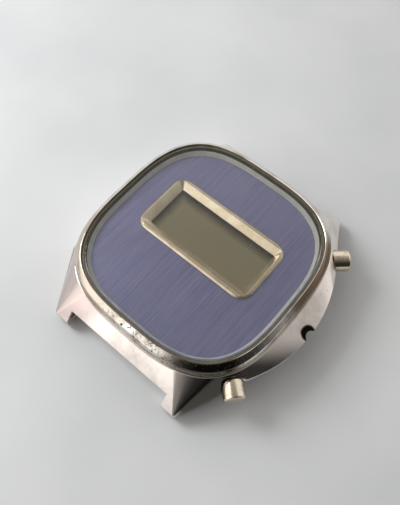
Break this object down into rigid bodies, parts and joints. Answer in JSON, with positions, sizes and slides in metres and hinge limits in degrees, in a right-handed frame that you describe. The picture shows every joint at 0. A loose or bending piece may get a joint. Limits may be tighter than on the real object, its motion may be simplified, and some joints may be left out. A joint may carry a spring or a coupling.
{
  "type": "digital watch head",
  "caption": "Head of a digital wristwatch: rounded square chromed case with strap lugs, brushed blue dial, blank display window and push buttons on the right",
  "frame": {"origin": "middle of the case back's outer face", "axes": "+X points to 3 o'clock, +Y to 12 o'clock and +Z out of the dial"},
  "size_m": [0.0362, 0.0404, 0.009],
  "materials": {
    "case_chrome": "polished, lightly worn",
    "bezel_chrome": "polished, pitted along its outer edge",
    "crystal_glass": "flat mineral glass",
    "nylon_gasket": "translucent",
    "flange_steel": "polished",
    "dial_blue": "brushed from top to bottom",
    "frame_champagne": "satin champagne",
    "polariser_film": "olive grey film",
    "display_glass": "clear",
    "reflector_foil": "matt foil",
    "zebra_rubber": "striped silicone rubber",
    "frame_plastic": "moulded",
    "board_green": "solder resist",
    "chip_resin": "cast resin",
    "can_steel": "tinned",
    "trimmer_ceramic": "ceramic",
    "contact_gold": "gold flashed",
    "capacitor_ceramic": "ceramic",
    "lamp_glass": "clear",
    "battery_steel": "nickelled",
    "screw_steel": "turned",
    "holder_plastic": "moulded",
    "ring_nylon": "moulded nylon",
    "pusher_chrome": "polished, worn to a brassy tint",
    "tube_steel": "turned",
    "spring_steel": "wire",
    "black_rubber": "moulded",
    "back_steel": "brushed from top to bottom"
  },
  "bodies": {
    "watch_head": {"mid_case": "case_chrome", "bezel": "bezel_chrome", "crystal": "crystal_glass", "crystal_gasket": "nylon_gasket", "flange_ring": "flange_steel", "dial": "dial_blue", "window_frame": "frame_champagne", "front_polariser": "polariser_film", "front_glass": "display_glass", "rear_glass": "display_glass", "rear_reflector": "reflector_foil", "zebra_connectors": "zebra_rubber", "module_frame": "frame_plastic", "circuit_board": "board_green", "chip": "chip_resin", "quartz_can": "can_steel", "trimmer_body": "trimmer_ceramic", "capacitors": "capacitor_ceramic", "lamp": "lamp_glass", "battery": "battery_steel", "negative_contact": "contact_gold", "battery_bridge": "contact_gold", "bridge_screw": "screw_steel", "rear_holder": "holder_plastic", "module_screws": "screw_steel", "movement_ring": "ring_nylon", "switch_pads": "contact_gold", "upper_switch_leaf": "contact_gold", "lower_switch_leaf": "contact_gold", "upper_tube": "tube_steel", "upper_spring": "spring_steel", "lower_tube": "tube_steel", "lower_spring": "spring_steel", "case_back": "back_steel", "back_gasket": "black_rubber"},
    "upper_pusher": {"upper_pusher": "pusher_chrome", "upper_o_ring": "black_rubber", "upper_clip": "spring_steel"},
    "lower_pusher": {"lower_pusher": "pusher_chrome", "lower_o_ring": "black_rubber", "lower_clip": "spring_steel"},
    "trimmer_rotor": {"trimmer_rotor": "contact_gold"}
  },
  "joints": [
    {"name": "upper_press", "type": "slide", "parent": "watch_head", "child": "upper_pusher", "axis": [-0.7431, -0.6691, 0], "range_m": [0, 0.0007], "stiffness_N_per_m": 1500, "springref_m": -0.0006, "deforming": ["upper_spring", "upper_switch_leaf"]},
    {"name": "lower_press", "type": "slide", "parent": "watch_head", "child": "lower_pusher", "axis": [-0.7431, 0.6691, 0], "range_m": [0, 0.0007], "stiffness_N_per_m": 1500, "springref_m": -0.0006, "deforming": ["lower_spring", "lower_switch_leaf"]},
    {"name": "trimmer_turn", "type": "hinge", "parent": "watch_head", "child": "trimmer_rotor", "pos_m": [0.0056, -0.0066, 0.003], "axis": [0, 0, 1], "continuous": true}
  ]
}
